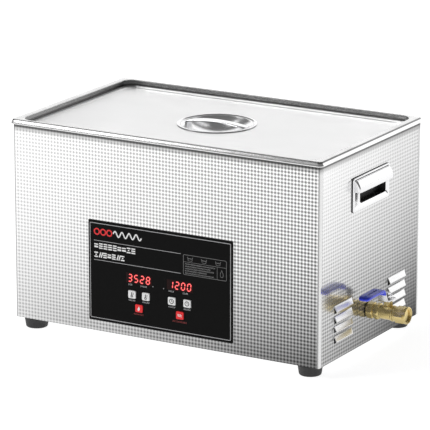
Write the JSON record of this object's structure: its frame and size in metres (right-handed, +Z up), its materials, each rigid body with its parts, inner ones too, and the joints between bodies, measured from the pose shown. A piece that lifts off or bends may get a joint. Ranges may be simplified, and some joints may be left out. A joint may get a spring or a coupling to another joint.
{
  "type": "ultrasonic cleaner",
  "caption": "Bench-top ultrasonic cleaner with an embossed steel case, a drawn tank with a lift-off lid, a front control panel and a lever drain valve on the side.",
  "frame": {"origin": "on the surface it stands on, under the middle of the whole object, handles and valve included", "axes": "+Z up; +X towards the drain valve; -Y towards the control panel"},
  "size_m": [0.6104, 0.3284, 0.33],
  "materials": {
    "embossed_steel": "embossed with a fine square dimple pattern, bright",
    "plain_steel": "plain mill finish",
    "tank_steel": "fine brushed, drawn in one piece with the rim",
    "lid_steel": "bright satin",
    "polished_steel": "polished",
    "brass": "bright turned brass, slightly tarnished",
    "lever_blue": "dipped vinyl, satin",
    "black_rubber": "matt moulded",
    "panel_black": "printed film, satin gloss",
    "key_white": "satin key cap",
    "key_red": "satin key cap",
    "display_red": "dark red window with lit digits",
    "circuit_board": "green solder mask",
    "aluminium": "turned and extruded",
    "heater_rubber": "silicone pad",
    "black_plastic": "moulded, fine texture"
  },
  "bodies": {
    "housing": {"front_panel": "embossed_steel", "side_panel_right": "embossed_steel", "side_panel_left": "embossed_steel", "rear_panel": "plain_steel", "base_plate": "plain_steel", "tank": "tank_steel", "panel_overlay": "panel_black", "control_board": "circuit_board", "display_temperature": "display_red", "display_timer": "display_red", "handle_right": "polished_steel", "handle_left": "polished_steel", "drain_elbow": "plain_steel", "drain_tank_nut": "brass", "valve_inlet_hex": "brass", "valve_body": "brass", "valve_outlet_end": "brass", "valve_packing_nut": "brass", "heater_front": "heater_rubber", "heater_rear": "heater_rubber", "generator_board": "circuit_board", "heat_sink": "aluminium", "fan_frame": "black_plastic", "fan_guard": "polished_steel", "power_inlet": "black_plastic", "switch_frame": "black_plastic", "fuse_holder": "black_plastic", "foot_front_left": "black_rubber", "foot_screw_front_left": "polished_steel", "foot_front_right": "black_rubber", "foot_screw_front_right": "polished_steel", "foot_rear_left": "black_rubber", "foot_screw_rear_left": "polished_steel", "foot_rear_right": "black_rubber", "foot_screw_rear_right": "polished_steel", "transducer_1": "aluminium", "transducer_2": "aluminium", "transducer_3": "aluminium", "transducer_4": "aluminium", "transducer_5": "aluminium", "transducer_6": "aluminium", "transducer_7": "aluminium", "transducer_8": "aluminium"},
    "lid": {"lid_plate": "lid_steel", "lid_dish": "polished_steel", "lid_bridge": "polished_steel"},
    "valve_handle": {"valve_lever": "polished_steel", "lever_sleeve": "lever_blue", "lever_nut": "polished_steel", "valve_stem": "brass", "valve_ball": "polished_steel"},
    "power_rocker": {"switch_rocker": "black_plastic"},
    "fan_wheel": {"fan_rotor": "black_plastic"},
    "button_temperature_up": {"key_temperature_up": "key_white"},
    "button_temperature_down": {"key_temperature_down": "key_white"},
    "button_time_up": {"key_time_up": "key_white"},
    "button_time_down": {"key_time_down": "key_white"},
    "button_heat": {"key_heat": "key_red"},
    "button_ultrasonic": {"key_ultrasonic": "key_red"}
  },
  "joints": [
    {"name": "lid_lift", "type": "slide", "parent": "housing", "child": "lid", "axis": [0, 0, 1], "range_m": [0, 0.15]},
    {"name": "valve_turn", "type": "hinge", "parent": "housing", "child": "valve_handle", "pos_m": [0.2712, -0.006, 0.0683], "axis": [0, 0, 1], "range_deg": [0, 90]},
    {"name": "rocker_tilt", "type": "hinge", "parent": "housing", "child": "power_rocker", "pos_m": [0.0772, 0.1545, 0.062], "axis": [1, 0, 0], "range_deg": [-20, 0]},
    {"name": "fan_spin", "type": "hinge", "parent": "housing", "child": "fan_wheel", "pos_m": [-0.1778, 0.145, 0.068], "axis": [0, 1, 0], "continuous": true},
    {"name": "press_temperature_up", "type": "slide", "parent": "housing", "child": "button_temperature_up", "axis": [0, 1, 0], "range_m": [0, 0.0006], "stiffness_N_per_m": 400},
    {"name": "press_temperature_down", "type": "slide", "parent": "housing", "child": "button_temperature_down", "axis": [0, 1, 0], "range_m": [0, 0.0006], "stiffness_N_per_m": 400},
    {"name": "press_time_up", "type": "slide", "parent": "housing", "child": "button_time_up", "axis": [0, 1, 0], "range_m": [0, 0.0006], "stiffness_N_per_m": 400},
    {"name": "press_time_down", "type": "slide", "parent": "housing", "child": "button_time_down", "axis": [0, 1, 0], "range_m": [0, 0.0006], "stiffness_N_per_m": 400},
    {"name": "press_heat", "type": "slide", "parent": "housing", "child": "button_heat", "axis": [0, 1, 0], "range_m": [0, 0.0006], "stiffness_N_per_m": 400},
    {"name": "press_ultrasonic", "type": "slide", "parent": "housing", "child": "button_ultrasonic", "axis": [0, 1, 0], "range_m": [0, 0.0006], "stiffness_N_per_m": 400}
  ]
}
